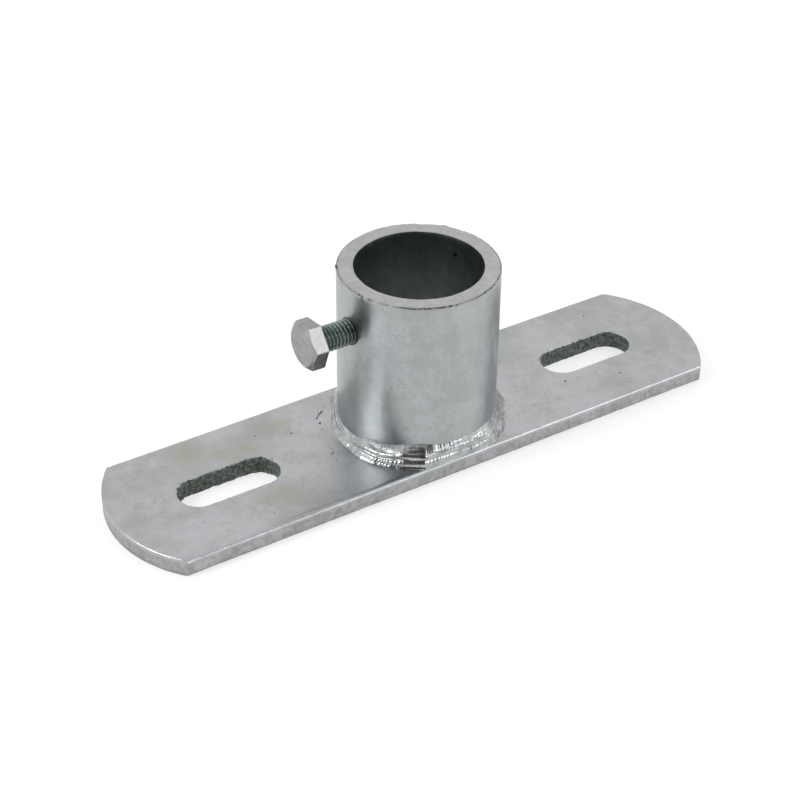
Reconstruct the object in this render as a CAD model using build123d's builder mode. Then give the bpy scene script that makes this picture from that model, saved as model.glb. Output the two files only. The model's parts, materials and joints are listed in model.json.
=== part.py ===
from build123d import *
from math import cos, radians, tan
import os

# Tube clamp base flange: a short tube socket welded upright on a slotted flat bar,
# with a hexagon head bolt screwed through its wall to clamp the tube put into it.
#
# Frame, in millimetres: X along the flat bar, Y across it, Z up the socket.
# The origin is the middle of the bar's underside, on the socket's axis.

# Flat bar foot
foot_length = 254.0
foot_width = 65.0
foot_thickness = 7.0
foot_end_radius = 47.5
rolled_edge_radius = 1.5
sheared_end_radius = 0.5

# Fixing slots
slot_length = 40.0
slot_width = 16.0
slot_spacing = 162.0
slot_rim_chamfer = 0.4

# Tube socket
socket_outer_diameter = 60.3
socket_wall = 6.3
socket_length = 66.5
sawn_edge_chamfer = 0.4

# Fillet weld round the socket
weld_leg_on_foot = 5.0
weld_leg_on_socket = 8.0
weld_least_leg = 1.5
weld_crown = 0.7
weld_shoulder_rise = 1.5
weld_shoulder_radius = 7.5
weld_run_over_depth = 0.75

# Clamp bolt
bolt_diameter = 10.0
bolt_length = 19.4
bolt_below_rim = 18.8
bolt_point_recess = 0.1
bolt_point_chamfer = 1.0
bolt_thread_clearance = 0.05
bolt_hole_edge_radius = 0.5
head_across_flats = 16.8
head_height = 6.3
head_face_diameter = 14.8
head_chamfer_angle = 32.0
head_turn = 21.0

# Places and radii worked out from the sizes above
socket_outer_radius = socket_outer_diameter / 2
socket_bore_radius = socket_outer_radius - socket_wall
socket_rim_height = foot_thickness + socket_length
bolt_height = socket_rim_height - bolt_below_rim
weld_half_width = max(foot_width / 2, socket_outer_radius + weld_least_leg)
head_seat_x = -(socket_bore_radius + bolt_point_recess + bolt_length)
head_corner_radius = head_across_flats / 2 / cos(radians(30))
head_seat = Plane(origin=(head_seat_x, 0, bolt_height), x_dir=(0, 1, 0), z_dir=(1, 0, 0))
bolt_section = Plane(origin=head_seat.origin, x_dir=(-1, 0, 0), z_dir=(0, 1, 0))
bolt_axis = Axis(origin=head_seat.origin, direction=(1, 0, 0))

# Foot: flat bar with rolled long edges, sheared to an arc at both ends and punched
# with two lengthways slots. The rim of each sheared end is rounded all the way round,
# because the rolled edges run into it without a corner, and the slots' upper rims are
# broken by a small chamfer.
with BuildPart() as base_plate:
    with BuildSketch():
        SlotOverall(foot_length, 2 * foot_end_radius)
        Rectangle(foot_length, foot_width, mode=Mode.INTERSECT)
    extrude(amount=foot_thickness)
    fillet(base_plate.edges().filter_by(Axis.X), radius=rolled_edge_radius)
    end_rims = base_plate.edges().filter_by(GeomType.CIRCLE).group_by(Axis.Z)[-1]
    fillet(end_rims, radius=sheared_end_radius)
    with BuildSketch():
        with GridLocations(slot_spacing, 0, 2, 1):
            SlotOverall(slot_length, slot_width)
    extrude(amount=foot_thickness, mode=Mode.SUBTRACT)
    upper_face = base_plate.faces().sort_by(Axis.Z)[-1]
    chamfer(upper_face.inner_wires().edges(), length=slot_rim_chamfer)
base_plate.part.label = "base_plate"

# Socket: a length of thick-walled tube, sawn square and deburred, with one cross
# hole for the bolt through the wall that faces the foot's left end.
with BuildPart() as socket_tube:
    with BuildSketch(Plane.XY.offset(foot_thickness)):
        Circle(socket_outer_radius)
        Circle(socket_bore_radius, mode=Mode.SUBTRACT)
    extrude(amount=socket_length)
    rim = socket_tube.faces().sort_by(Axis.Z)[-1]
    chamfer(rim.edges(), length=sawn_edge_chamfer)
    edges_before_hole = socket_tube.edges()
    with BuildSketch(head_seat):
        Circle(bolt_diameter / 2 + bolt_thread_clearance)
    extrude(amount=-head_seat_x, mode=Mode.SUBTRACT)
    hole_mouth = (socket_tube.edges() - edges_before_hole).sort_by(Axis.X)[0]
    fillet(hole_mouth, radius=bolt_hole_edge_radius)
socket_tube.part.label = "socket_tube"

# Weld: one convex fillet all round the socket. Its ring is wider than the bar, so
# on both sides it rounds off flush with the bar and runs down over the rolled edge.
# It keeps its least leg beside the socket, even on a bar too narrow for that.
with BuildPart() as weld_bead:
    with BuildSketch(Plane.XZ):
        with BuildLine():
            socket_toe = (socket_outer_radius, foot_thickness + weld_leg_on_socket)
            foot_toe = (socket_outer_radius + weld_leg_on_foot, foot_thickness)
            crown = SagittaArc(foot_toe, socket_toe, weld_crown)
            run_over = PolarLine(
                foot_toe,
                weld_run_over_depth,
                direction=-(crown % 0),
                length_mode=LengthMode.VERTICAL,
            )
            run_over_root = (socket_outer_radius, foot_thickness - weld_run_over_depth)
            Polyline(socket_toe, run_over_root, run_over @ 1)
        make_face()
    revolve(axis=Axis.Z)
    with BuildSketch(Plane.YZ) as shoulders:
        with Locations((0, foot_thickness)):
            Rectangle(2 * weld_half_width, 2 * (weld_shoulder_rise + weld_shoulder_radius))
        upper_corners = shoulders.vertices().group_by(Axis.Z)[-1]
        fillet(upper_corners, radius=weld_shoulder_radius)
    extrude(amount=foot_length / 2, both=True, mode=Mode.INTERSECT)
    add(base_plate.part, mode=Mode.SUBTRACT)
weld_bead.part.label = "weld_bead"

# Bolt: hexagon head with a turned chamfer on its outer face, threaded up to the
# head, with a chamfered point that stops just short of the socket's bore.
with BuildPart() as clamp_bolt:
    with BuildSketch(head_seat):
        RegularPolygon(head_corner_radius, 6, rotation=30 + head_turn)
    extrude(amount=-head_height)
    with BuildSketch(bolt_section):
        with BuildLine():
            face_radius = head_face_diameter / 2
            chamfer_depth = (head_corner_radius - face_radius) * tan(radians(head_chamfer_angle))
            Polyline(
                (0, 0),
                (head_height, 0),
                (head_height, face_radius),
                (head_height - chamfer_depth, head_corner_radius),
                (0, head_corner_radius),
                close=True,
            )
        make_face()
    revolve(axis=bolt_axis, mode=Mode.INTERSECT)
    with BuildSketch(head_seat):
        Circle(bolt_diameter / 2)
    extrude(amount=bolt_length)
    point_edge = clamp_bolt.edges().sort_by(Axis.X)[-1]
    chamfer(point_edge, length=bolt_point_chamfer)
clamp_bolt.part.label = "clamp_bolt"

os.makedirs("parts", exist_ok=True)
export_step(base_plate.part, "parts/base_plate.step")
export_step(socket_tube.part, "parts/socket_tube.step")
export_step(weld_bead.part, "parts/weld_bead.step")
export_step(clamp_bolt.part, "parts/clamp_bolt.step")
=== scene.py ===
# %% [markdown]
# # A tube clamp base flange
# The object is a slotted flat bar with a short steel tube welded upright on it. A bolt goes
# through the tube's wall and clamps the pole that is put in. All of it is coated with zinc.
#
# The CAD model gives every size and place, so it is loaded first and is never moved. What is
# made here is what a drawing leaves out: rolled edges, ragged slots, the ripples of a weld laid
# by hand, the bolt's thread, and the cloudy look of zinc.

# %% Load the frame
import json
import math
import random

import bmesh
import bpy
from mathutils import Matrix, Vector, geometry, noise


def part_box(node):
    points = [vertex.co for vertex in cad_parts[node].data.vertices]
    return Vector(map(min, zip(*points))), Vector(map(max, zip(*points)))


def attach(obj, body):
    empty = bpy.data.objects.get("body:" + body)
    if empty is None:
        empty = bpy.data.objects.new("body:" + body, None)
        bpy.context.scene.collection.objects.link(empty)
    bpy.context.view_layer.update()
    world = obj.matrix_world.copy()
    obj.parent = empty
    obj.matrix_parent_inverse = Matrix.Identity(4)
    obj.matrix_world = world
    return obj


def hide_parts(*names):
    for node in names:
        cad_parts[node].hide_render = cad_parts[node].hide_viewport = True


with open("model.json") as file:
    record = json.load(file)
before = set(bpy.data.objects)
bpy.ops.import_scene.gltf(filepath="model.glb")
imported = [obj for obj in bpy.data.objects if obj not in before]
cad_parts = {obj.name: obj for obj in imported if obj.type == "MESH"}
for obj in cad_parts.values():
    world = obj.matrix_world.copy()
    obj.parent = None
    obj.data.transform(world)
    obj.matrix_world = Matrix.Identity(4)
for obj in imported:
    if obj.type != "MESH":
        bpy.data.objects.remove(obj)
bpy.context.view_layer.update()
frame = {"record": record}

# %% [markdown]
# ## Sizes
# Blender works in metres here, and a workshop works in millimetres, so one name, mm, turns one
# into the other. Sizes that the frame can give are measured on it. The rest are the named
# values of the drawing.

# %% Sizes of the steel parts
mm = 0.001
foot_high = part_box("base_plate")[1]
tube_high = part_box("socket_tube")[1]
bolt_low, bolt_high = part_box("clamp_bolt")
mounts = {mount["name"]: mount for mount in frame["record"]["mounts"]}
slot_sizes = mounts["slot_pattern"]["dims"]

foot_half_length = foot_high.x
foot_half_width = foot_high.y
foot_top = foot_high.z
foot_end_radius = 47.5 * mm
foot_end_centre = foot_half_length - foot_end_radius
slot_centre = slot_sizes["spacing_x_mm"] * mm / 2
slot_radius = slot_sizes["hole_r_mm"] * mm
slot_straight_half = slot_sizes["slot_length_mm"] * mm / 2 - slot_radius
tube_radius = tube_high.x
bore_radius = mounts["tube_bore"]["dims"]["r_mm"] * mm
rim_height = tube_high.z
print("foot top", foot_top, "tube radius", tube_radius, "bore radius", bore_radius)

# %% [markdown]
# ## Roughness in the shape
# Nothing on welded steel is perfectly smooth, so every surface gets a little relief. Perlin
# noise is a good source, because it is smooth, has no direction and always gives the same
# result for the same seed.

# %% Random height
def random_height(point, size, seed, octaves=3):
    """Smooth random height, from about -1 to 1, with bumps about `size` across."""
    shift = Vector((seed * 3.1, seed * 7.7, seed * 1.3))
    return noise.fractal(Vector(point) / size + shift, 0.9, 2.0, octaves)


def smooth_step(low, high, value):
    """0 below `low`, 1 above `high`, and an S curve between them."""
    share = min(max((value - low) / (high - low), 0.0), 1.0)
    return share * share * (3.0 - 2.0 * share)


def blend(first, second, share):
    """A number between two numbers."""
    return first + (second - first) * share


print("a height:", round(random_height((0.01, 0.02, 0.0), 5 * mm, 1), 3))

# %% [markdown]
# ## Making a closed skin
# Each piece is a closed skin sewn from sheets. A sheet with holes is cut by a Delaunay
# triangulation, which fills any outline with even triangles. Edges and walls are strips
# between two rings with the same number of points. Sheets and strips share their border
# points, so merging those points closes the skin.

# %% Sheets and strips
class Skin:
    """Collects points and faces until they are sewn into one piece."""

    def __init__(self):
        self.points = []
        self.faces = []

    def add_ring(self, ring):
        """Adds points and gives their numbers."""
        start = len(self.points)
        self.points.extend(Vector(point) for point in ring)
        return list(range(start, len(self.points)))

    def strip(self, rings, closed=True):
        """Joins rings of equal length, each to the next, with four-sided faces."""
        numbered = [self.add_ring(ring) for ring in rings]
        for lower, upper in zip(numbered, numbered[1:]):
            count = len(lower)
            steps = count if closed else count - 1
            for here in range(steps):
                after = (here + 1) % count
                self.faces.append((lower[here], lower[after], upper[after], upper[here]))

    def fan(self, ring, centre):
        """Closes a ring with triangles that meet in its centre."""
        numbers = self.add_ring(ring)
        middle = self.add_ring([centre])[0]
        for here, number in enumerate(numbers):
            self.faces.append((number, numbers[(here + 1) % len(numbers)], middle))

    def sheet(self, outline, holes, inside, place):
        """Fills a flat outline round its holes. `place` puts each flat point in space."""
        flat = list(outline)
        loops = [list(range(len(flat)))]
        for hole in holes:
            start = len(flat)
            flat.extend(hole)
            loops.append(list(range(start, len(flat))))
        edges = []
        for loop in loops:
            edges.extend(zip(loop, loop[1:] + loop[:1]))
        flat.extend(inside)
        flat = [Vector((point[0], point[1])) for point in flat]
        cut = geometry.delaunay_2d_cdt(flat, edges, [], 1, 1e-9)
        kept_points = cut[0]
        hole_flats = [[Vector(point[:2]) for point in hole] for hole in holes]
        numbers = self.add_ring([place(point.x, point.y) for point in kept_points])
        for face in cut[2]:
            middle = sum((kept_points[corner] for corner in face), Vector((0, 0))) / len(face)
            if not any(inside_loop(middle, hole) for hole in hole_flats):
                self.faces.append(tuple(numbers[corner] for corner in face))


def inside_loop(point, loop):
    """Whether a flat point lies in a closed loop, by counting crossings."""
    inside = False
    before = loop[-1]
    for corner in loop:
        if (corner.y > point.y) != (before.y > point.y):
            crossing = (before.x - corner.x) * (point.y - corner.y)
            crossing = crossing / (before.y - corner.y) + corner.x
            if point.x < crossing:
                inside = not inside
        before = corner
    return inside


def staggered_grid(low, high, step, keep):
    """Even rows of flat points, every second row shifted by half a step."""
    points = []
    rows = int((high[1] - low[1]) / (step * 0.87))
    columns = int((high[0] - low[0]) / step)
    for row in range(rows + 1):
        for column in range(columns + 1):
            x = low[0] + (column + 0.5 * (row % 2)) * step
            y = low[1] + row * step * 0.87
            if keep(x, y):
                points.append((x, y))
    return points


def sew(skin, name, relief=None, crease=38):
    """Sews the skin into a piece, moves its points by the relief, and marks sharp edges."""
    mesh = bmesh.new()
    corners = [mesh.verts.new(point) for point in skin.points]
    for face in skin.faces:
        mesh.faces.new([corners[number] for number in face])
    bmesh.ops.remove_doubles(mesh, verts=mesh.verts, dist=0.002 * mm)
    bmesh.ops.dissolve_degenerate(mesh, edges=mesh.edges, dist=0.0001 * mm)
    bmesh.ops.recalc_face_normals(mesh, faces=mesh.faces)
    mesh.normal_update()
    if relief:
        moves = [relief(corner.co, corner.normal) for corner in mesh.verts]
        for corner, move in zip(mesh.verts, moves):
            corner.co = corner.co + move
    mesh.normal_update()
    for edge in mesh.edges:
        edge.smooth = edge.calc_face_angle(0) < math.radians(crease)
    return settle(mesh, name)


def settle(mesh, name):
    """Turns sewn faces into a smooth piece in the scene."""
    for face in mesh.faces:
        face.smooth = True
    open_edges = sum(1 for edge in mesh.edges if not edge.is_manifold)
    data = bpy.data.meshes.new(name)
    mesh.to_mesh(data)
    mesh.free()
    piece = bpy.data.objects.new(name, data)
    bpy.context.scene.collection.objects.link(piece)
    print(name, len(data.vertices), "points", len(data.polygons), "faces", open_edges, "open edges")
    return piece


def dress(piece, node, body):
    """Puts a piece in the place of its CAD node, on that node's body."""
    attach(piece, body)
    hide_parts(node)


# %% [markdown]
# ## The foot
# The foot is hot rolled flat bar. Rolling leaves its long edges round, and here the front edge
# is rounder near the left end. Its ends are sheared to an arc, which leaves them almost sharp.
# The outline is drawn once as a function of how far it is drawn in, so that every ring of the
# rounded rim comes from the same few lines.

# %% The foot's outline
corner_cut = 0.9 * mm
rolled_radius_left = 2.2 * mm
rolled_radius_right = 1.2 * mm
rolled_radius_below = 1.5 * mm
sheared_radius = 0.5 * mm
long_edge_steps = 113
corner_steps = 5
end_steps = 35


def rolled_radius(x):
    """The long edges are rounder near the left end."""
    share = smooth_step(-90 * mm, 20 * mm, x)
    return blend(rolled_radius_left, rolled_radius_right, share)


def foot_ring(share, height_share, upper=True):
    """One ring of the foot's rim. The shares are how far it is drawn in and up, 0 to 1."""
    ring = []
    for quarter in range(4):
        side_x = 1 if quarter in (0, 1) else -1
        side_y = -1 if quarter in (0, 3) else 1
        ring.extend(foot_quarter(share, height_share, upper, side_x, side_y, quarter % 2 == 1))
    return ring


def foot_quarter(share, height_share, upper, side_x, side_y, backwards):
    """From the middle of a long edge round its corner to the middle of an end."""
    stations = []
    end_radius = foot_end_radius - sheared_radius * share
    corner_roll = rolled_radius(side_x * foot_half_length) if upper else rolled_radius_below
    corner_width = foot_half_width - corner_roll * share
    corner_angle = math.asin(corner_width / end_radius)
    corner_x = foot_end_centre + end_radius * math.cos(corner_angle)
    straight_end = corner_x - corner_cut
    for step in range(long_edge_steps + 1):
        x = straight_end * step / long_edge_steps
        roll = rolled_radius(side_x * x) if upper else rolled_radius_below
        stations.append((x, foot_half_width - roll * share, roll))
    arc_start = corner_angle - corner_cut / end_radius
    start = Vector((straight_end, corner_width))
    peak = Vector((corner_x, corner_width))
    stop = Vector((math.cos(arc_start), math.sin(arc_start))) * end_radius
    stop = stop + Vector((foot_end_centre, 0))
    for step in range(1, corner_steps):
        along = step / corner_steps
        point = start * (1 - along) ** 2 + peak * 2 * along * (1 - along) + stop * along**2
        stations.append((point.x, point.y, blend(corner_roll, sheared_radius, along)))
    for step in range(end_steps + 1):
        angle = arc_start * (1 - step / end_steps)
        x = foot_end_centre + end_radius * math.cos(angle)
        stations.append((x, end_radius * math.sin(angle), sheared_radius))
    ring = []
    for x, y, roll in stations:
        drop = roll * (1 - height_share)
        z = foot_top - drop if upper else drop
        ring.append((side_x * x, side_y * y, z))
    if backwards:
        ring.reverse()
    return ring[:-1]


print("ring points:", len(foot_ring(1, 1)))

# %% [markdown]
# ## The slots
# The slots are punched. The punch draws the upper rim down a little and tears the lower part of
# the wall, so the wall is rough and its rims are ragged. The left slot is worse than the right
# one. The ragged rim is made in the outline itself, so that it shows against the light.

# %% The slots' rings
slot_steps_straight = 48
slot_steps_round = 50
slot_rows = 9
rim_break = 0.45 * mm
punched_depth = 0.6 * mm
lower_rim = 0.3 * mm
torn_left = 0.42 * mm
torn_right = 0.20 * mm


def slot_ring(side, offset, height, ragged, seed):
    """A ring of the slot at `side` (-1 left, 1 right), pushed out by `offset` and noise."""
    ring = []
    for x, y, out_x, out_y in slot_stations():
        place = Vector((side * slot_centre + x, y, height))
        torn = ragged * (0.25 + 0.75 * smooth_step(-4 * mm, 4 * mm, y))
        push = offset + torn * random_height(place, 1.9 * mm, seed, 4)
        ring.append((place.x + out_x * push, place.y + out_y * push, height))
    return ring


def slot_stations():
    """Points round a slot at the origin, each with its outward direction."""
    stations = []
    for side in (1, -1):
        for step in range(slot_steps_straight):
            x = side * slot_straight_half * (1 - 2 * step / slot_steps_straight)
            stations.append((x, side * slot_radius, 0, side))
        for step in range(slot_steps_round):
            angle = side * math.pi / 2 + math.pi * step / slot_steps_round
            out = (math.cos(angle), math.sin(angle))
            x = out[0] * slot_radius - side * slot_straight_half
            stations.append((x, out[1] * slot_radius, *out))
    return stations


def slot_rings(side):
    """All rings of one slot, from its upper rim to its lower one."""
    rough = torn_left if side < 0 else torn_right
    rings = [slot_ring(side, rim_break, foot_top, rough, 11)]
    rings.append(slot_ring(side, rim_break * 0.5, foot_top - 0.15 * mm, rough, 11))
    rings.append(slot_ring(side, 0.0, foot_top - punched_depth, rough * 0.7, 12))
    for row in range(1, slot_rows):
        depth = row / slot_rows
        height = (foot_top - punched_depth) * (1 - depth) + lower_rim * depth
        torn = rough * (0.5 + 0.9 * smooth_step(0.3, 1.0, depth))
        rings.append(slot_ring(side, 0.05 * mm * depth, height, torn, 13))
    rings.append(slot_ring(side, 0.1 * mm, lower_rim, rough * 1.3, 13))
    rings.append(slot_ring(side, 0.35 * mm, 0.0, rough, 13))
    return rings


print("slot ring points:", len(slot_stations()))

# %% [markdown]
# ## Relief on the foot
# Mill scale, knocks and the zinc bath leave shallow waves, a few beads of zinc along the back
# edge and some small pits. A relief function gives every point of the skin its own small move
# along its normal. The sides of the bar may only move inwards, because the CAD box is the
# outer limit.

# %% The foot's relief
foot_pits = [
    (-46.7 * mm, 14.0 * mm, 0.55 * mm),
    (61.8 * mm, -12.3 * mm, 0.6 * mm),
    (-59.4 * mm, 19.6 * mm, 0.45 * mm),
    (-76.0 * mm, -24.5 * mm, 0.4 * mm),
    (84.0 * mm, -19.0 * mm, 0.5 * mm),
    (97.0 * mm, 22.0 * mm, 0.5 * mm),
]
foot_beads = [
    (-64.1 * mm, 31.2 * mm, 0.9 * mm, 0.30 * mm),
    (-61.0 * mm, 31.0 * mm, 0.6 * mm, 0.22 * mm),
    (-50.5 * mm, 31.4 * mm, 0.7 * mm, 0.20 * mm),
    (-57.0 * mm, 27.5 * mm, 0.5 * mm, 0.15 * mm),
]
pit_depth = 0.35 * mm


def foot_relief(point, normal):
    """How far a point of the foot's skin moves."""
    waves = 0.035 * mm * random_height(point, 14 * mm, 21)
    grain = 0.02 * mm * random_height(point, 3 * mm, 22)
    height = waves + grain
    if point.z > foot_top - 0.05 * mm:
        for x, y, radius in foot_pits:
            away = math.hypot(point.x - x, point.y - y) / radius
            height -= pit_depth * max(0.0, 1 - away * away)
        for x, y, radius, rise in foot_beads:
            away = math.hypot(point.x - x, point.y - y) / radius
            height += rise * max(0.0, 1 - away * away * 0.5)
        return Vector((0, 0, height))
    if point.z < 0.05 * mm:
        return Vector((0, 0, 0))
    knocks = 0.13 * mm * abs(random_height(point, 5 * mm, 23))
    worn = knocks + 0.05 * mm * abs(random_height(point, 1.6 * mm, 24))
    move = normal * -(worn + abs(waves))
    return Vector((move.x, move.y, max(move.z, -point.z)))


pit_x, pit_y = foot_pits[0][:2]
print("relief at a pit:", foot_relief(Vector((pit_x, pit_y, foot_top)), Vector((0, 0, 1))))

# %% [markdown]
# ## Sewing the foot
# The rim is a strip of rings that turn through a quarter circle at the top, go straight down
# and turn again at the bottom. The upper sheet is fine, because its relief shows. The lower
# one is coarse and flat, because the foot stands on it.

# %% Sew the foot
upper_turns = 6
lower_turns = 4
edge_rows = 7
fine_step = 1.15 * mm
coarse_step = 5 * mm


def foot_keeps(x, y, gap):
    """Whether a flat point is well inside the foot and well outside its slots."""
    if abs(y) > foot_half_width - rolled_radius(x) - gap:
        return False
    if abs(x) > foot_end_centre:
        away = math.hypot(abs(x) - foot_end_centre, y)
        if away > foot_end_radius - sheared_radius - gap:
            return False
    across = max(abs(abs(x) - slot_centre) - slot_straight_half, 0)
    return math.hypot(across, y) > slot_radius + rim_break + 0.5 * mm + gap


def rings_round(places, shares=(0.35, 0.7, 1.0, 1.5), count=10):
    """Extra flat points round small features, so that they come out round."""
    points = []
    for place in places:
        points.append((place[0], place[1]))
        for share in shares:
            for step in range(count):
                angle = math.tau * (step + share) / count
                x = place[0] + place[2] * share * math.cos(angle)
                y = place[1] + place[2] * share * math.sin(angle)
                points.append((x, y))
    return points


def make_foot():
    """The slotted flat bar."""
    skin = Skin()
    rim = []
    for step in range(upper_turns + 1):
        turn = math.radians(90 - 90 / upper_turns * step)
        rim.append(foot_ring(1 - math.cos(turn), math.sin(turn)))
    upper_ring = rim[-1]
    lower_ring = foot_ring(0, 0, upper=False)
    for step in range(1, edge_rows):
        pairs = zip(upper_ring, lower_ring)
        rim.append([Vector(above).lerp(Vector(below), step / edge_rows) for above, below in pairs])
    for step in range(lower_turns + 1):
        turn = math.radians(90 / lower_turns * step)
        rim.append(foot_ring(1 - math.cos(turn), math.sin(turn), upper=False))
    skin.strip(rim)
    left, right = slot_rings(-1), slot_rings(1)
    skin.strip(left)
    skin.strip(right)
    low = (-foot_half_length, -foot_half_width)
    high = (foot_half_length, foot_half_width)
    fine = staggered_grid(low, high, fine_step, lambda x, y: foot_keeps(x, y, 0.5 * mm))
    fine.extend(rings_round(foot_pits))
    fine.extend(rings_round([bead for bead in foot_beads if bead[1] < 30 * mm]))
    skin.sheet(rim[0], [left[0], right[0]], fine, lambda x, y: (x, y, foot_top))
    coarse = staggered_grid(low, high, coarse_step, lambda x, y: foot_keeps(x, y, 2 * mm))
    skin.sheet(rim[-1], [left[-1], right[-1]], coarse, lambda x, y: (x, y, 0.0))
    return sew(skin, "foot_bar", foot_relief)


foot_bar = make_foot()
dress(foot_bar, "base_plate", "flange")

# %% [markdown]
# ## The socket
# The socket is sawn from thick tube. Unrolled, its wall is a rectangle with one hole, so both
# walls are cut flat and then bent round. The hole is drilled along X, so its outline on a
# round wall is found from the point where a straight line meets that wall.

# %% The socket's walls
tube_columns = 480
seam_angle = math.radians(57)
hole_height = (bolt_low.z + bolt_high.z) / 2
hole_radius = 5.05 * mm
hole_mouth = 0.5 * mm
hole_steps = 64
rim_chamfer = 0.4 * mm
outer_step = 0.95 * mm
bore_step = 1.6 * mm


def bend(radius):
    """A function that bends a flat sheet, (length along the wall, height), round the axis."""
    def place(along, height):
        angle = seam_angle + along / radius
        return Vector((radius * math.cos(angle), radius * math.sin(angle), height))
    return place


def unrolled_hole(radius, size):
    """The hole's outline on the unrolled wall."""
    outline = []
    for step in range(hole_steps):
        turn = math.tau * step / hole_steps
        y = size * math.cos(turn)
        angle = math.pi - math.asin(y / radius)
        outline.append(((angle - seam_angle) * radius, hole_height + size * math.sin(turn)))
    return outline


def wall_sheet(skin, radius, low, high, hole_size, step):
    """One unrolled wall, cut round its hole and bent."""
    length = math.tau * radius
    rows = int((high - low) / step)
    outline = [(length * column / tube_columns, low) for column in range(tube_columns)]
    outline += [(length, low + (high - low) * row / rows) for row in range(rows)]
    outline += [(length * (1 - column / tube_columns), high) for column in range(tube_columns)]
    outline += [(0, high - (high - low) * row / rows) for row in range(rows)]
    hole = unrolled_hole(radius, hole_size)
    middle = (math.pi - seam_angle) * radius

    def keep(along, height):
        inside = step * 0.6 < along < length - step * 0.6
        between = low + step * 0.6 < height < high - step * 0.6
        clear = math.hypot(along - middle, height - hole_height) > hole_size + step * 0.7
        return inside and between and clear

    grid = staggered_grid((0, low), (length, high), step, keep)
    skin.sheet(outline, [hole], grid, bend(radius))


def hole_ring(size, radius):
    """A ring of the drilled hole where it meets a wall of that radius."""
    place = bend(radius)
    return [place(along, height) for along, height in unrolled_hole(radius, size)]


print("hole at height", round(hole_height, 4))

# %% [markdown]
# ## The socket's rim
# A saw leaves a burr and a file takes most of it off, so the outer edge of the rim is uneven:
# small nicks, flats and one bright nub. The two edges are strips whose width changes round the
# tube. The relief adds long shallow waves on the wall, which make its reflections waver.

# %% Sew the socket
rim_burrs = [(-165, 0.5 * mm, 0.8 * mm), (150, 0.5 * mm, 1.3 * mm), (38, 0.35 * mm, 0.9 * mm)]
rim_bevel = 0.12 * mm
rim_steps = 6
mouth_turns = 4
hole_rows = 6


def rim_ring(radius, drop):
    """A ring near the socket's rim, `drop` below it."""
    ring = []
    for column in range(tube_columns):
        angle = seam_angle + math.tau * column / tube_columns
        ring.append((radius * math.cos(angle), radius * math.sin(angle), rim_height - drop))
    return ring


def socket_relief(point, normal):
    """How far a point of the socket's skin moves."""
    radius = math.hypot(point.x, point.y)
    angle = math.atan2(point.y, point.x)
    flat = Vector((point.x, point.y, point.z * 0.12))
    waves = 0.05 * mm * random_height(point, 16 * mm, 31)
    drawn = 0.025 * mm * random_height(flat, 3 * mm, 32)
    height = waves + drawn
    below_rim = rim_height - point.z
    near = 1 - smooth_step(0.2 * mm, 1.8 * mm, below_rim)
    if radius > tube_radius - 0.5 * mm and near > 0:
        chipped = random_height(point, 1.5 * mm, 33, 4)
        height -= near * (0.10 * mm + 0.34 * mm * max(0.0, chipped))
        for place, rise, width in rim_burrs:
            turn = math.remainder(angle - math.radians(place), math.tau) * radius
            height += rise * near * math.exp(-((turn / width) ** 2))
    move = normal * height
    saw_wave = random_height((math.cos(angle), math.sin(angle), 0), 0.5, 34)
    saw_grain = abs(random_height(point, 2 * mm, 35))
    sunk = 0.03 * mm + 0.30 * mm * max(0.0, saw_wave) + 0.03 * mm * saw_grain
    move.z = min(move.z, below_rim) - near * sunk
    return move


def make_socket():
    """The short tube, with the bolt's hole through its wall."""
    skin = Skin()
    wall_top = rim_height - rim_chamfer
    mouth_size = hole_radius + hole_mouth
    wall_sheet(skin, tube_radius, foot_top, wall_top, mouth_size, outer_step)
    wall_sheet(skin, bore_radius, foot_top, wall_top, hole_radius, bore_step)
    across = [tube_radius, tube_radius - rim_bevel, tube_radius - rim_chamfer]
    drops = [rim_chamfer, rim_bevel, 0.0]
    for step in range(1, rim_steps + 1):
        share = step / rim_steps
        across.append(blend(tube_radius - rim_chamfer, bore_radius + rim_chamfer, share))
        drops.append(0.0)
    across += [bore_radius + rim_bevel, bore_radius]
    drops += [rim_bevel, rim_chamfer]
    skin.strip([rim_ring(radius, drop) for radius, drop in zip(across, drops)])
    depth = rim_height - foot_top
    skin.strip([rim_ring(bore_radius, depth), rim_ring(tube_radius, depth)])
    mouth = []
    for step in range(mouth_turns + 1):
        turn = math.radians(90 * step / mouth_turns)
        size = mouth_size - hole_mouth * math.sin(turn)
        mouth.append(hole_ring(size, tube_radius - hole_mouth * (1 - math.cos(turn))))
    for step in range(1, hole_rows + 1):
        wall_radius = blend(tube_radius - hole_mouth, bore_radius, step / hole_rows)
        mouth.append(hole_ring(hole_radius, wall_radius))
    skin.strip(mouth)
    return sew(skin, "tube_socket", socket_relief)


tube_socket = make_socket()
dress(tube_socket, "socket_tube", "flange")

# %% [markdown]
# ## The weld
# The tube is welded to the bar by hand, in a few runs. Each run leaves ripples where the pool
# set step by step, and lumps where one run meets the next. The bead is swept round the tube: a
# curved section from a toe on the tube to a toe on the bar. Its two legs and its crown change on
# the way: it bulges at the front and is hollow at both ends. Where the bar is too narrow, the
# lower toe stops on the bar's rolled edge.

# %% The bead's legs
climb_by_hour = [6.6, 6.4, 6.6, 6.4, 5.6, 3.6, 3.4, 5.8, 7.6, 6.9, 6.9, 7.6]
reach_by_hour = [6.2, 5.0, 5.2, 5.0, 4.6, 2.6, 3.8, 6.0, 6.0, 5.2, 4.2, 4.6]
crown_by_hour = [-0.6, 0.1, 0.5, 0.5, 0.3, -0.2, -0.3, 0.7, 1.2, 0.9, 0.2, -0.7]
bead_columns = 1200
bead_rows = 34
edge_margin = 0.5 * mm
edge_drop = 0.5 * mm


def outwards(angle):
    """The flat direction away from the tube's axis at an angle round it."""
    return Vector((math.cos(angle), math.sin(angle), 0))


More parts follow.
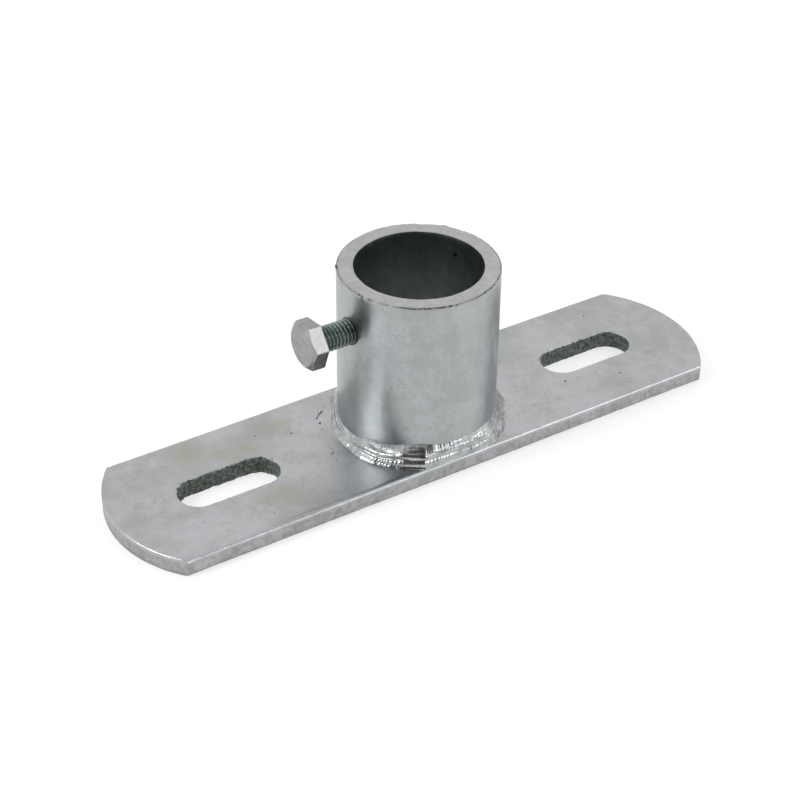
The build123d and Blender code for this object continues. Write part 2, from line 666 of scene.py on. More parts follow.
def by_hour(values, angle):
    """Reads twelve values given every 30 degrees round the tube, smoothly."""
    hour = (math.degrees(angle) % 360) / 30
    first = int(hour) % 12
    share = smooth_step(0, 1, hour - int(hour))
    return blend(values[first], values[(first + 1) % 12], share) * mm


def bead_toes(angle):
    """The bead's upper toe on the tube and lower toe on the bar, as (radius, height)."""
    round_point = outwards(angle) * tube_radius
    wander = 0.40 * mm * random_height(round_point, 6 * mm, 41)
    shiver = 0.12 * mm * random_height(round_point, 1.4 * mm, 42)
    upper = foot_top + by_hour(climb_by_hour, angle) + wander + shiver
    reach = tube_radius + by_hour(reach_by_hour, angle) + wander - shiver
    limit = (foot_half_width - edge_margin) / max(abs(math.sin(angle)), 0.01)
    over = smooth_step(-1.5 * mm, 1.0 * mm, reach - limit)
    reach = min(reach, limit)
    return (tube_radius, upper), (reach, foot_top - edge_drop * over)


print("toes at the front:", bead_toes(math.radians(-90)))

# %% [markdown]
# ## Ripples and lumps
# The ripples are arcs across the bead, about one millimetre apart, that lag at both toes,
# because the pool cools there first. Noise breaks them up. All of it fades to nothing at the
# toes, where the bead is fused to the steel.

# %% Sew the weld
ripple_pitch = 1.15 * mm
ripple_height = 0.06 * mm
ripple_lag = 5.2 * mm
seam_share = 0.60
seam_width = 0.07
crease_share = 0.88
crease_width = 0.04
bead_root = 0.6 * mm


def bead_height(angle, share, point):
    """How far the bead's face stands out from its smooth curve."""
    hold = math.sin(math.pi * min(max(share, 0.0), 1.0)) ** 0.6
    along = angle * tube_radius
    around = outwards(angle) * tube_radius
    laid = around / 5 + Vector((0, 0, share * 9 * mm))
    streaks = 0.20 * mm * random_height(laid, 1.7 * mm, 50, 2)
    seam = seam_share + 0.10 * random_height(around, 7 * mm, 56, 2)
    between = math.exp(-(((share - seam) / seam_width) ** 2))
    between = between + 0.5 * math.exp(-(((share - crease_share) / crease_width) ** 2))
    front = front_part(angle)
    lag = ripple_lag * (share - 0.5) ** 2
    wander = 0.6 * mm * random_height(point, 4 * mm, 51)
    phase = math.tau * (along + lag + wander) / ripple_pitch
    rippled = front * smooth_step(seam, seam + 0.1, share)
    ripple = ripple_height * math.cos(phase) * rippled
    uneven = lumpy_part(angle)
    lumps = 0.16 * mm * random_height(point, 9 * mm, 57, 2)
    lumps = lumps + blend(0.04 * mm, 0.30 * mm, uneven) * random_height(point, 3.8 * mm, 52, 2)
    creases = 0.22 * mm * uneven * abs(random_height(point, 1.9 * mm, 53))
    grit = blend(0.008 * mm, 0.030 * mm, uneven) * random_height(point, 0.9 * mm, 54)
    runs = 0.30 * mm * (front + 0.3) * between
    return hold * (ripple + streaks + lumps - creases - runs + grit)


def near_angle(angle, middle, inner, outer):
    """1 within `inner` degrees of an angle round the tube, fading to 0 at `outer`."""
    turn = abs(math.degrees(math.remainder(angle - math.radians(middle), math.tau)))
    return 1 - smooth_step(inner, outer, turn)


def front_part(angle):
    """1 at the front, where two runs lie one above the other."""
    return near_angle(angle, -125, 40, 60)


def lumpy_part(angle):
    """1 at the front right, where the bead was patched, and 0 elsewhere."""
    return near_angle(angle, -62, 22, 42)


def bead_section(angle):
    """One section of the bead, from inside the tube's wall round to inside the bar."""
    upper, lower = bead_toes(angle)
    direction = outwards(angle)
    start = direction * upper[0] + Vector((0, 0, upper[1]))
    stop = direction * lower[0] + Vector((0, 0, lower[1]))
    chord = stop - start
    out = Vector((direction.x * -chord.z, direction.y * -chord.z, 0))
    out = out + Vector((0, 0, chord.xy.length))
    out.normalize()
    section = [direction * (tube_radius - bead_root) + Vector((0, 0, upper[1] + 0.1 * mm))]
    limit = foot_half_width - 0.02 * mm
    for row in range(bead_rows + 1):
        share = row / bead_rows
        crown = by_hour(crown_by_hour, angle) * math.sin(math.pi * share)
        point = start + chord * share + out * crown
        point = point + out * bead_height(angle, share, point)
        point.y = min(max(point.y, -limit), limit)
        section.append(point)
    section.append(direction * (lower[0] - 0.3 * mm) + Vector((0, 0, lower[1] - 0.8 * mm)))
    section.append(direction * (tube_radius - bead_root) + Vector((0, 0, foot_top - 1.0 * mm)))
    return section


def make_weld():
    """The bead round the socket."""
    skin = Skin()
    sections = [bead_section(math.tau * step / bead_columns) for step in range(bead_columns)]
    sections.append(sections[0])
    skin.strip(sections)
    return sew(skin, "fillet_weld", crease=60)


fillet_weld = make_weld()
dress(fillet_weld, "weld_bead", "flange")

# %% [markdown]
# ## Spatter
# Welding throws small drops of steel that stick to the bar near the bead. Each is a flattened
# ball, pushed out of shape by noise and sunk into the bar, so none of them hangs in the air.
# They are one piece, because nobody would ever take one off by itself.

# %% Drops of spatter
drop_count = 22
drop_flatness = 0.62
placed_drops = [
    (-30.4, 20.4, 1.0),
    (-32.0, 19.4, 0.7),
    (-33.8, 18.0, 0.8),
    (-34.5, 14.2, 0.6),
    (-36.0, 10.5, 0.5),
    (-40.1, -4.5, 0.6),
    (-41.0, -9.0, 0.45),
]


def scattered_drops():
    """The placed drops and some small random ones, as (x, y, radius) in metres."""
    chance = random.Random(7)
    drops = [(x * mm, y * mm, radius * mm) for x, y, radius in placed_drops]
    while len(drops) < drop_count:
        angle = chance.uniform(math.radians(80), math.radians(215))
        away = tube_radius + 5 * mm + 12 * mm * chance.random() ** 2
        x, y = away * math.cos(angle), away * math.sin(angle)
        if abs(y) < foot_half_width - 3 * mm:
            drops.append((x, y, chance.uniform(0.15, 0.30) * mm))
    return drops


def make_spatter():
    """All drops as one piece."""
    mesh = bmesh.new()
    for number, (x, y, radius) in enumerate(scattered_drops()):
        made = bmesh.ops.create_icosphere(mesh, subdivisions=2, radius=radius)
        for corner in made["verts"]:
            bulge = 1 + 0.25 * random_height(corner.co / radius, 1.1, number)
            corner.co = Vector((corner.co.x, corner.co.y, corner.co.z * drop_flatness)) * bulge
            corner.co += Vector((x, y, foot_top + 0.12 * radius))
    return settle(mesh, "weld_spatter")


weld_spatter = make_spatter()
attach(weld_spatter, "flange")

# %% [markdown]
# ## The bolt
# The bolt is threaded up to its head. A thread is one ridge wound in a helix, so the radius of
# the shank depends only on the position along it minus the share of a turn. A fine grid of
# points with that radius gives crests and roots that a light can run along.

# %% The bolt's thread
bolt_radius = 5.0 * mm
thread_pitch = 1.5 * mm
thread_depth = 0.92 * mm
thread_columns = 96
thread_rows = 12
tip_radius = 3.95 * mm
head_height = 6.3 * mm
head_flat = 16.8 / 2 * mm
head_face_radius = 14.8 / 2 * mm
head_slope = math.tan(math.radians(32))
head_corner_turn = math.radians(90 + 21)
head_seat = bolt_low.x + head_height
shank_length = bolt_high.x - head_seat


def thread_radius(along, turn):
    """The shank's radius at a length from the head and an angle round it."""
    share = (along / thread_pitch - turn / math.tau) % 1.0
    slope = abs(share - 0.5) * 2
    dip = min(max((slope - 0.12) / 0.66, 0.0), 1.0)
    deep = thread_depth * smooth_step(0.3 * mm, 1.6 * mm, along)
    radius = bolt_radius - 0.02 * mm - deep * dip
    tip = shank_length - along
    return min(radius, tip_radius + tip)


def bolt_point(along, radius, turn):
    """A point of the bolt, from the seat under its head along its axis."""
    x = head_seat + along
    return Vector((x, radius * math.cos(turn), hole_height + radius * math.sin(turn)))


def thread_rings():
    """Rings of the shank, from its tip to the seat under the head."""
    steps = int(shank_length / (thread_pitch / thread_rows))
    turns = [math.tau * column / thread_columns for column in range(thread_columns)]
    rings = []
    for step in range(steps + 1):
        along = shank_length * (1 - step / steps)
        rings.append([bolt_point(along, thread_radius(along, turn), turn) for turn in turns])
    return rings


print("shank", round(shank_length, 4), "thread turns", round(shank_length / thread_pitch, 1))

# %% [markdown]
# ## The bolt's head
# A forged hexagon head is turned on its outer face, which cuts its six corners in curves. Those
# curves come from one rule: a point of the flats is never further out than the cone of the
# turned chamfer. Its rings follow the hexagon on the flats and a circle on the face.

# %% Sew the bolt
head_columns = 288
head_dish = 0.10 * mm
chamfer_rows = 8
flat_rows = 12
corner_rounding = 0.18 * mm
rounded_turn = math.radians(3)
seat_chamfer = 0.25 * mm


def hexagon_radius(turn):
    """How far the hexagon reaches at an angle, with softened corners."""
    sector = math.radians(60)
    off = abs((turn - head_corner_turn + sector / 2) % sector - sector / 2)
    reach = head_flat / math.cos(sector / 2 - off)
    if off < rounded_turn:
        corner = head_flat / math.cos(sector / 2)
        reach = min(reach, corner - corner_rounding * (1 - off / rounded_turn) ** 2)
    return reach


def chamfer_place(radius):
    """Where the turned chamfer has that radius, from the seat along the axis."""
    return (radius - head_face_radius) * head_slope - head_height


def head_rings():
    """Rings of the head, from the middle of its face to its seat."""
    turns = [math.tau * column / head_columns for column in range(head_columns)]
    outers = [hexagon_radius(turn) for turn in turns]
    rings = []
    for share in (0.15, 0.3, 0.45, 0.6, 0.75, 0.88, 0.96, 1.0):
        place = head_dish * (1 - share**4) - head_height
        rings.append([bolt_point(place, head_face_radius * share, turn) for turn in turns])
    for step in range(1, chamfer_rows + 1):
        radii = [blend(head_face_radius, outer, step / chamfer_rows) for outer in outers]
        ring = [bolt_point(chamfer_place(radius), radius, turn) for radius, turn in zip(radii, turns)]
        rings.append(ring)
    for step in range(1, flat_rows + 1):
        ring = []
        for outer, turn in zip(outers, turns):
            place = blend(chamfer_place(outer), -seat_chamfer, step / flat_rows)
            ring.append(bolt_point(place, outer, turn))
        rings.append(ring)
    rings.append([bolt_point(0.0, outer - seat_chamfer, turn) for outer, turn in zip(outers, turns)])
    for radius in (7.4 * mm, 6.2 * mm, 4.98 * mm):
        rings.append([bolt_point(0.0, radius, turn) for turn in turns])
    return rings


def bolt_relief(point, normal):
    """Small knocks on the head. The thread keeps its shape."""
    if point.x > head_seat - 0.05 * mm:
        return Vector((0, 0, 0))
    knocks = abs(random_height(point, 2.5 * mm, 61))
    return normal * -0.05 * mm * knocks


def make_bolt():
    """The hexagon bolt that clamps the pole. Its head and its shank are two closed skins."""
    skin = Skin()
    head = head_rings()
    skin.strip(head)
    skin.fan(head[0], bolt_point(head_dish - head_height, 0.0, 0.0))
    skin.fan(head[-1], bolt_point(0.0, 0.0, 0.0))
    shank = thread_rings()
    skin.strip(shank)
    skin.fan(shank[0], bolt_point(shank_length, 0.0, 0.0))
    skin.fan(shank[-1], bolt_point(-0.2 * mm, 0.0, 0.0))
    return sew(skin, "hexagon_bolt", bolt_relief, crease=30)


hexagon_bolt = make_bolt()
dress(hexagon_bolt, "clamp_bolt", "bolt")

# %% [markdown]
# ## Shader maths as Python
# A material's look is arithmetic on patterns. Wiring Math nodes by hand is slow to read, so one
# small class wraps a node's output. Adding, subtracting or multiplying it with a number or with
# another wire adds the Math node. Every other node comes from one method, `node`.

# %% A wire that can be calculated with
class Wire:
    """The output of a shader node. Arithmetic on it adds Math nodes."""

    def __init__(self, tree, socket=None):
        self.tree = tree
        self.socket = socket

    def node(self, kind, settings, inputs, output=0):
        """Adds one node: first its settings, then the values or wires of its inputs."""
        made = self.tree.nodes.new(kind)
        for name, value in settings.items():
            setattr(made, name, value)
        for name, value in inputs.items():
            if isinstance(value, Wire):
                self.tree.links.new(value.socket, made.inputs[name])
            else:
                made.inputs[name].default_value = value
        return Wire(self.tree, made.outputs[output])

    def maths(self, operation, first, second):
        """One Math node that applies an operation to two inputs."""
        return self.node("ShaderNodeMath", {"operation": operation}, {0: first, 1: second})

    def __add__(self, other):
        return self.maths("ADD", self, other)

    def __radd__(self, other):
        return self.maths("ADD", other, self)

    def __sub__(self, other):
        return self.maths("SUBTRACT", self, other)

    def __rsub__(self, other):
        return self.maths("SUBTRACT", other, self)

    def __mul__(self, other):
        return self.maths("MULTIPLY", self, other)

    def __rmul__(self, other):
        return self.maths("MULTIPLY", other, self)


print("operators ready:", [name for name in ("__add__", "__sub__", "__mul__") if hasattr(Wire, name)])

# %% [markdown]
# ## Patterns
# Three patterns are enough for zinc. Clouds are noise at a given size, a patch is a soft spot at
# a given place, and a ramp turns part of a pattern's range into a mask. All of them read object
# coordinates, which are metres in the frame, so a size in a pattern is a real size.

# %% Clouds, patches and ramps
def start_material(name):
    """A new material, and the wire with its object coordinates."""
    material = bpy.data.materials.new(name)
    material.use_nodes = True
    tree = material.node_tree
    where = Wire(tree).node("ShaderNodeTexCoord", {}, {}, "Object")
    return material, where


def clouds(where, size, detail=3.0, rough=0.55):
    """Noise with features about `size` across, from 0 to 1."""
    settings = {"noise_dimensions": "3D"}
    inputs = {"Vector": where, "Scale": 1 / size, "Detail": detail, "Roughness": rough}
    return where.node("ShaderNodeTexNoise", settings, inputs, "Fac")


def ramp(wire, low, high, first=0.0, last=1.0):
    """Takes the part of a pattern between two values and spreads it smoothly."""
    inputs = {"Value": wire, "From Min": low, "From Max": high, "To Min": first, "To Max": last}
    return wire.node("ShaderNodeMapRange", {"interpolation_type": "SMOOTHSTEP"}, inputs)


def stretch(where, factors):
    """Coordinates scaled along each axis, which draws a pattern out into streaks."""
    return where.node("ShaderNodeVectorMath", {"operation": "MULTIPLY"}, {0: where, 1: factors})


def wander(where, size, amount):
    """Coordinates pushed about by noise, which bends a pattern's lines."""
    settings = {"noise_dimensions": "3D"}
    push = where.node("ShaderNodeTexNoise", settings, {"Vector": where, "Scale": 1 / size}, "Color")
    inputs = {0: push, 1: (amount, amount, amount), 2: where}
    return where.node("ShaderNodeVectorMath", {"operation": "MULTIPLY_ADD"}, inputs)


def distance(where, point):
    """How far the coordinates are from a point."""
    settings = {"operation": "DISTANCE"}
    return where.node("ShaderNodeVectorMath", settings, {0: where, 1: point}, "Value")


def patch(where, centre, size, soft=0.6):
    """A soft round mask, 1 in the middle and 0 outside `size`."""
    return ramp(distance(where, centre), size * (1 - soft), size, 1.0, 0.0)


def mix_colours(share, first, second):
    """One colour turning into another as the share goes from 0 to 1."""
    settings = {"data_type": "RGBA"}
    return share.node("ShaderNodeMix", settings, {0: share, 6: first, 7: second}, 2)


def axis_part(where, axis):
    """One coordinate of the position."""
    return where.node("ShaderNodeSeparateXYZ", {}, {"Vector": where}, axis)


def grey(level, red=0.0, blue=0.0):
    """A grey in linear light, shifted a little towards red or blue."""
    return (level * (1 + red), level, level * (1 + blue), 1.0)


def finish_metal(material, where, colour, roughness, height, bump_depth, metallic=1.0):
    """Sets the metal's shader: constants on its sockets, patterns on colour, roughness and bump."""
    tree = material.node_tree
    shader = tree.nodes["Principled BSDF"]
    shader.inputs["Metallic"].default_value = metallic
    inputs = {"Strength": 1.0, "Distance": bump_depth, "Height": height}
    normal = where.node("ShaderNodeBump", {}, inputs)
    tree.links.new(colour.socket, shader.inputs["Base Color"])
    tree.links.new(roughness.socket, shader.inputs["Roughness"])
    tree.links.new(normal.socket, shader.inputs["Normal"])
    print(material.name, len(tree.nodes), "nodes")
    return material


# %% [markdown]
# ## Zinc on the bar
# Hot dip zinc on rolled bar is a mid grey that changes in soft clouds, with fine grain, darker
# patches where it is thin, and stains in beige where the bath ran off. The stains near the left
# slot are placed, and the rest is noise.

# %% The bar's finish
bar_stains = [
    ((-87 * mm, 24 * mm, foot_top), 17 * mm),
    ((-70 * mm, 14 * mm, foot_top), 15 * mm),
    ((-57 * mm, 3 * mm, foot_top), 9 * mm),
    ((-68 * mm, -17 * mm, foot_top), 13 * mm),
    ((-52 * mm, 20 * mm, foot_top), 12 * mm),
]
stain_push = 8 * mm


def bar_finish():
    """Zinc on the flat bar."""
    material, where = start_material("zinc_on_bar")
    broad = clouds(where, 22 * mm)
    middle = clouds(where, 6 * mm, 4.0)
    fine = clouds(where, 1.1 * mm, 3.0, 0.65)
    height = axis_part(where, "Z")
    tone = 0.5 * broad + 0.3 * middle + 0.2 * fine
    colour = mix_colours(ramp(tone, 0.38, 0.62), grey(0.385, -0.02, 0.02), grey(0.485, -0.015, 0.03))
    smudge = ramp(clouds(wander(where, 4 * mm, 3 * mm), 2.6 * mm, 4.0, 0.7), 0.52, 0.68)
    smudge = smudge * ramp(clouds(where, 15 * mm, 2.0), 0.42, 0.6)
    colour = mix_colours(0.42 * smudge, colour, (0.26, 0.275, 0.27, 1.0))
    stain = placed_stains(where) * ramp(middle, 0.25, 0.65)
    colour = mix_colours(0.80 * ramp(stain, 0.0, 0.9), colour, (0.375, 0.37, 0.315, 1.0))
    specks = ramp(clouds(where, 0.9 * mm, 1.0), 0.70, 0.78) * ramp(broad, 0.5, 0.62)
    colour = mix_colours(0.55 * specks, colour, (0.13, 0.14, 0.13, 1.0))
    bright = ramp(clouds(stretch(where, (0.5, 1.0, 1.0)), 0.8 * mm, 1.0), 0.72, 0.8)
    colour = mix_colours(0.3 * bright, colour, grey(0.72))
    # Painted dark reflection: noisy dark patches on the sides, below the rolled top edge.
    side = ramp(height, foot_top - 2.0 * mm, foot_top - 0.8 * mm, 1.0, 0.0)
    painted_dark_reflection = side * ramp(clouds(where, 2.2 * mm, 5.0, 0.7), 0.42, 0.62)
    colour = mix_colours(0.5 * painted_dark_reflection, colour, (0.21, 0.22, 0.205, 1.0))
    # Painted shade: the lowest part of the sides, next to the floor, is darker in patches.
    painted_foot_shade = ramp(height, 0.3 * mm, 1.8 * mm, 1.0, 0.0) * ramp(middle, 0.3, 0.55)
    colour = mix_colours(0.55 * painted_foot_shade, colour, (0.17, 0.18, 0.165, 1.0))
    # The slot walls are dark green grey: partly the torn steel's duller coat, partly painted shade
    # inside the slots.
    slot_wall = slot_wall_mask(where)
    wall_tone = ramp(clouds(where, 1.6 * mm, 4.0, 0.7), 0.35, 0.65)
    wall_colour_and_painted_shade = mix_colours(wall_tone, (0.115, 0.135, 0.12, 1.0), (0.25, 0.275, 0.26, 1.0))
    colour = mix_colours(slot_wall, colour, wall_colour_and_painted_shade)
    # Darker bits along the torn back rims of the slots.
    colour = mix_colours(0.75 * dark_rim_bits(where), colour, (0.07, 0.08, 0.065, 1.0))
    for x, y, size in foot_pits:
        dark = patch(where, (x, y, foot_top), size * 1.3, 0.7)
        colour = mix_colours(0.75 * dark, colour, (0.05, 0.055, 0.05, 1.0))
    rolled = ramp(height, foot_top - 2.2 * mm, foot_top - 0.1 * mm, 1.0, 0.0)
    roughness = 0.24 + 0.14 * middle + 0.10 * fine + 0.2 * slot_wall + 0.16 * rolled
    relief = 0.6 * middle + 0.25 * fine + 0.15 * clouds(where, 0.35 * mm, 2.0)
    relief = relief + slot_wall * clouds(where, 1.5 * mm, 3.0, 0.6) * 2.5
    return finish_metal(material, where, colour, roughness, relief, 0.06 * mm)


def placed_stains(where):
    """All placed stains, with borders bent by noise that pushes them `stain_push` on average."""
    bent = wander(where, 9 * mm, 2 * stain_push)
    stains = []
    for centre, size in bar_stains:
        pushed = tuple(value + stain_push for value in centre)
        stains.append(patch(bent, pushed, size, 1.0))
    return sum(stains)


def from_slot(where):
    """How far a point is from the nearer slot's middle line."""
    x = axis_part(where, "X")
    across = where.node("ShaderNodeMath", {"operation": "ABSOLUTE"}, {0: x}) - slot_centre
    along = where.node("ShaderNodeMath", {"operation": "ABSOLUTE"}, {0: across}) - slot_straight_half
    past = where.node("ShaderNodeMath", {"operation": "MAXIMUM"}, {0: along, 1: 0.0})
    y = axis_part(where, "Y")
    return where.node("ShaderNodeMath", {"operation": "SQRT"}, {0: past * past + y * y})


def slot_wall_mask(where):
    """1 on the walls of both slots and 0 elsewhere."""
    inside = ramp(from_slot(where), slot_radius + 0.5 * mm, slot_radius + 1.0 * mm, 1.0, 0.0)
    below = ramp(axis_part(where, "Z"), foot_top - 0.25 * mm, foot_top - 0.04 * mm, 1.0, 0.0)
    return inside * below


def dark_rim_bits(where):
    """Dark bits on the torn back rims of the slots, most on the left one."""
    near = ramp(from_slot(where), slot_radius + 0.5 * mm, slot_radius + 1.3 * mm, 1.0, 0.0)
    back = ramp(axis_part(where, "Y"), 1 * mm, 5 * mm)
    left = ramp(axis_part(where, "X"), -75 * mm, 60 * mm, 0.0, 0.06)
    bits = clouds(where, 1.3 * mm, 3.0, 0.6) - left
    return near * back * ramp(bits, 0.46, 0.56)


foot_bar.data.materials.append(bar_finish())

# %% [markdown]
# ## Zinc on the tube
# Drawn tube has fine lines along its length, so its clouds are drawn out vertically. Inside the
# bore the zinc is green grey, with painted shade near the rim and painted light further down. The
# sawn rim is matte, and its outer edge gets a thin dark line in broken dashes, as painted shade.

# %% The tube's finish
def tube_finish():
    """Zinc on the socket."""
    material, where = start_material("zinc_on_tube")
    broad = clouds(where, 16 * mm)
    middle = clouds(where, 4 * mm, 4.0)
    fine = clouds(where, 0.9 * mm, 3.0, 0.65)
    lines = clouds(stretch(where, (1.0, 1.0, 0.12)), 1.6 * mm, 3.0, 0.6)
    tone = 0.4 * broad + 0.3 * middle + 0.15 * fine + 0.15 * lines
    colour = mix_colours(ramp(tone, 0.38, 0.62), grey(0.365, -0.07, 0.01), grey(0.445, -0.05, 0.02))
    warm = ramp(clouds(stretch(where, (1.0, 1.0, 0.4)), 9 * mm), 0.48, 0.66)
    colour = mix_colours(0.45 * warm, colour, (0.425, 0.43, 0.39, 1.0))
    marks = flow_marks(where) * ramp(broad, 0.4, 0.6)
    colour = mix_colours(0.45 * marks, colour, (0.24, 0.235, 0.22, 1.0))
    spots = ramp(clouds(where, 1.1 * mm, 2.0), 0.62, 0.74)
    colour = mix_colours(0.35 * spots, colour, (0.19, 0.19, 0.175, 1.0))
    height = axis_part(where, "Z")
    flat = stretch(where, (1.0, 1.0, 0.0))
    out = distance(flat, (0.0, 0.0, 0.0))
    bore = ramp(out, bore_radius + 0.1 * mm, bore_radius + 0.5 * mm, 1.0, 0.0)
    # The bore gets its green grey, with painted shade near the rim and painted light further down.
    colour = mix_colours(bore, colour, bore_colour_and_painted_shade(height, lines, middle))
    rim = ramp(height, rim_height - 0.40 * mm, rim_height - 0.15 * mm)
    rim_tone = ramp(0.5 * middle + 0.5 * fine, 0.35, 0.65)
    colour = mix_colours(rim, colour, mix_colours(rim_tone, grey(0.40), grey(0.50)))
    # Painted shade: a thin dark line along the rim's outer edge, broken into dashes by noise.
    edge = ramp(out, tube_radius - 0.8 * mm, tube_radius - 0.45 * mm)
    edge = edge * ramp(height, rim_height - 0.9 * mm, rim_height - 0.45 * mm)
    worn = ramp(clouds(where, 1.5 * mm, 3.0, 0.7), 0.44, 0.54)
    worn = worn * ramp(clouds(where, 11 * mm), 0.40, 0.52)
    colour = mix_colours(edge * (0.30 + 0.65 * worn), colour, (0.05, 0.055, 0.045, 1.0))
    dark = patch(where, (22.1 * mm, 9.0 * mm, 66.1 * mm), 1.3 * mm)
    colour = mix_colours(0.85 * dark, colour, (0.03, 0.035, 0.025, 1.0))
    roughness = 0.25 + 0.12 * middle + 0.05 * lines + 0.16 * rim + 0.02 * bore
    relief = 0.5 * middle + 0.15 * lines + 0.35 * fine
    return finish_metal(material, where, colour, roughness, relief, 0.05 * mm)


def flow_marks(where):
    """Thin broken outlines, left where the running zinc set."""
    bent = wander(where, 6 * mm, 7 * mm)
    settings = {"feature": "DISTANCE_TO_EDGE"}
    inputs = {"Vector": bent, "Scale": 1 / (6 * mm)}
    away = where.node("ShaderNodeTexVoronoi", settings, inputs, "Distance")
    return ramp(away, 0.0, 0.05, 1.0, 0.0) * ramp(clouds(where, 3 * mm), 0.45, 0.6)


def bore_colour_and_painted_shade(height, lines, middle):
    """Green grey, with painted shade near the rim and painted light further down."""
    tone = ramp(0.4 * lines + 0.6 * middle, 0.35, 0.65)
    upper = mix_colours(tone, (0.17, 0.21, 0.205, 1.0), (0.22, 0.255, 0.25, 1.0))
    lower = mix_colours(tone, (0.62, 0.66, 0.64, 1.0), (0.74, 0.77, 0.75, 1.0))
    return mix_colours(ramp(height, rim_height - 32 * mm, rim_height - 1 * mm, 1.0, 0.0), upper, lower)


tube_socket.data.materials.append(tube_finish())

# %% [markdown]
# ## Zinc on the weld
# On the bead the zinc ran smooth and bright over the ripples, so its crests mirror the lights
# and its hollows look almost black. Dark slag stays in small spots. At the right end of the
# bead, rust has come through in one brown spot.

# %% The weld's finish
def weld_finish():
    """Zinc over the weld bead."""
    material, where = start_material("zinc_on_weld")
    middle = clouds(where, 3 * mm, 4.0)
    fine = clouds(where, 0.7 * mm, 3.0, 0.65)
    colour = mix_colours(ramp(middle, 0.35, 0.65), grey(0.36, -0.03, 0.02), grey(0.50, -0.02, 0.02))
    slag = ramp(clouds(where, 1.3 * mm, 4.0, 0.7), 0.58, 0.68)
    colour = mix_colours(0.5 * slag, colour, (0.12, 0.13, 0.13, 1.0))
    rust = patch(where, (34.0 * mm, -8.0 * mm, 10.0 * mm), 5.0 * mm, 0.8)
    rust = rust * ramp(clouds(where, 1.5 * mm, 3.0), 0.42, 0.56)
    colour = mix_colours(0.8 * rust, colour, (0.16, 0.12, 0.085, 1.0))
    roughness = 0.20 + 0.12 * middle + 0.1 * slag + 0.3 * rust
    relief = 0.7 * fine + 0.3 * clouds(where, 0.3 * mm, 2.0)
    return finish_metal(material, where, colour, roughness, relief, 0.025 * mm)


weld_coat = weld_finish()
fillet_weld.data.materials.append(weld_coat)
weld_spatter.data.materials.append(weld_coat)

# %% [markdown]
# ## Zinc on the bolt
# The bolt is plated by electricity, which gives a thin even coat. On the head it is a plain
# grey, a little darker than the dipped zinc. On the thread the passivated coat looks green.
# The thread's roots and the part of it that is nearest to the tube are painted darker, as painted
# shade.

# %% The bolt's finish
def bolt_finish():
    """Grey zinc on the head, green zinc on the thread."""
    material, where = start_material("zinc_on_bolt")
    middle = clouds(where, 3 * mm, 4.0)
    fine = clouds(where, 0.6 * mm, 3.0, 0.65)
    head = mix_colours(ramp(middle, 0.35, 0.65), grey(0.27, 0.01, 0.0), grey(0.33, 0.01, -0.01))
    along = axis_part(where, "X")
    threaded = ramp(along, head_seat, head_seat + 0.4 * mm)
    green = mix_colours(ramp(fine, 0.35, 0.65), (0.20, 0.255, 0.245, 1.0), (0.36, 0.42, 0.41, 1.0))
    colour = mix_colours(threaded, head, green)
    away = distance(stretch(where, (0.0, 1.0, 1.0)), (0.0, 0.0, hole_height))
    # Painted shade in the thread's roots.
    painted_root_shade = threaded * ramp(away, 4.1 * mm, 4.7 * mm, 1.0, 0.0)
    colour = mix_colours(0.6 * painted_root_shade, colour, (0.06, 0.08, 0.075, 1.0))
    # Painted shade on the thread next to the tube and inside it.
    inner = threaded * ramp(along, -tube_radius - 5 * mm, -tube_radius)
    colour = mix_colours(0.55 * inner, colour, (0.09, 0.105, 0.10, 1.0))
    roughness = 0.24 + 0.14 * middle + 0.06 * threaded
    relief = 0.6 * fine + 0.4 * middle
    return finish_metal(material, where, colour, roughness, relief, 0.03 * mm)


hexagon_bolt.data.materials.append(bolt_finish())

# %% [markdown]
# ## The floor and the room
# Metal shows the room round it, so the room is part of the picture. A pale sweep lies under the
# part and light walls stand all round it. The side behind the camera is dark, which gives the
# shiny bead its black hollows. Two soft boxes make the bright streaks on round edges, one at the
# left and one at the front right. The floor adds just enough white of its own, for what the
# camera and the metal see, to come out white, and it still takes the part's shadow.

# %% Floor
floor_grey = 0.40
floor_white = 0.66


def white_for_viewers(tree, strength):
    """A strength that counts for the camera and for mirror and glass rays, and not as light."""
    path = Wire(tree).node("ShaderNodeLightPath", {}, {}, "Is Camera Ray")
    glossy = Wire(tree, path.socket.node.outputs["Is Glossy Ray"])
    through = Wire(tree, path.socket.node.outputs["Is Transmission Ray"])
    return (path + glossy + through) * strength


def make_floor():
    """A pale floor that looks white and keeps the shadow."""
    bpy.ops.mesh.primitive_plane_add(size=4.0, location=(0, 0, -0.02 * mm))
    floor = bpy.context.object
    floor.name = "floor"
    material = bpy.data.materials.new("pale_floor")
    material.use_nodes = True
    tree = material.node_tree
    shader = tree.nodes["Principled BSDF"]
    shader.inputs["Base Color"].default_value = (floor_grey, floor_grey, floor_grey, 1)
    shader.inputs["Roughness"].default_value = 0.9
    shader.inputs["Specular IOR Level"].default_value = 0.1
    shader.inputs["Emission Color"].default_value = (1, 1, 1, 1)
    tree.links.new(white_for_viewers(tree, floor_white).socket, shader.inputs["Emission Strength"])
    floor.data.materials.append(material)
    return floor


floor = make_floor()
print("floor:", [round(side, 2) for side in floor.dimensions], "m")

# %% Room
wall_light = 1.0
dark_light = 0.06
dark_direction = (-0.33, -0.71, 0.62)


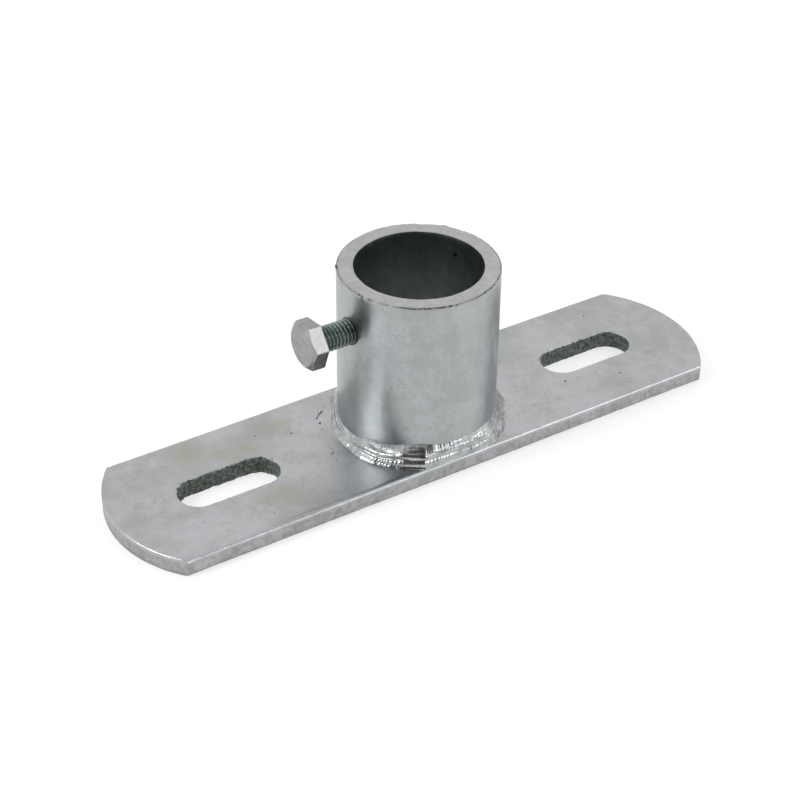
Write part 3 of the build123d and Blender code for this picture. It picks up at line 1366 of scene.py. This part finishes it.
def make_room():
    """Light walls and a dark side behind the camera, white where the camera looks past the floor."""
    world = bpy.data.worlds.new("room")
    bpy.context.scene.world = world
    world.use_nodes = True
    tree = world.node_tree
    direction = Wire(tree).node("ShaderNodeTexCoord", {}, {}, "Generated")
    settings = {"operation": "DOT_PRODUCT"}
    inputs = {0: direction, 1: dark_direction}
    towards_dark = direction.node("ShaderNodeVectorMath", settings, inputs, "Value")
    level = ramp(towards_dark, 0.62, 0.82, wall_light, dark_light)
    path = direction.node("ShaderNodeLightPath", {}, {}, "Is Camera Ray")
    strength = path + (1 - path) * level
    background = tree.nodes["Background"]
    background.inputs["Color"].default_value = (1, 1, 1, 1)
    tree.links.new(strength.socket, background.inputs["Strength"])
    print("room:", len(tree.nodes), "nodes")


make_room()

# %% Soft boxes
box_distance = 1.2
box_aim = Vector((0, 0, 30 * mm))


def soft_box(name, around, above, size, power):
    """A rectangular lamp, placed by its direction from the part and aimed at it."""
    lamp = bpy.data.lights.new(name, "AREA")
    lamp.shape = "RECTANGLE"
    lamp.size, lamp.size_y = size
    lamp.energy = power
    box = bpy.data.objects.new(name, lamp)
    bpy.context.scene.collection.objects.link(box)
    turn, lift = math.radians(around), math.radians(above)
    out = Vector((math.cos(turn) * math.cos(lift), math.sin(turn) * math.cos(lift), math.sin(lift)))
    box.location = out * box_distance + box_aim
    box.rotation_euler = out.to_track_quat("Z", "Y").to_euler()
    return box


soft_box("left_box", 172, 38, (0.40, 0.46), 5.0)
soft_box("right_box", -56, 33, (0.75, 0.50), 3.2)

# %% [markdown]
# ## The camera
# The camera is placed by its direction round the part, its height and a slight roll, and its
# rotation is built from three axes: right, up and back. Its lens is long, so lines that are
# parallel on the part stay almost parallel.

# %% Camera
camera_place = (-0.320280, -0.482424, 0.419545)
camera_around = math.radians(-32.963)
camera_above = math.radians(35.057)
camera_roll = math.radians(0.731)
camera_lens = 83.563


def make_camera():
    """The camera, turned by its three axes."""
    lens = bpy.data.cameras.new("camera")
    lens.lens = camera_lens
    lens.sensor_width = 36.0
    lens.clip_start = 0.05
    lens.clip_end = 10.0
    camera = bpy.data.objects.new("camera", lens)
    bpy.context.scene.collection.objects.link(camera)
    back = Vector((
        math.sin(camera_around) * math.cos(camera_above),
        -math.cos(camera_around) * math.cos(camera_above),
        math.sin(camera_above),
    ))
    right = Vector((0, 0, 1)).cross(back).normalized()
    up = back.cross(right)
    rolled_right = right * math.cos(camera_roll) + up * math.sin(camera_roll)
    rolled_up = up * math.cos(camera_roll) - right * math.sin(camera_roll)
    axes = Matrix((rolled_right, rolled_up, back)).transposed()
    camera.matrix_world = Matrix.Translation(camera_place) @ axes.to_4x4()
    bpy.context.scene.camera = camera
    return camera


camera = make_camera()
bpy.context.scene.view_settings.view_transform = "Standard"
print("camera at", [round(value, 3) for value in camera.location])

# %% [markdown]
# ## Finish
# The dressed part has to stay inside the CAD model's box. Last, the view layer is brought up to date.

# %% Finish
bpy.context.view_layer.update()
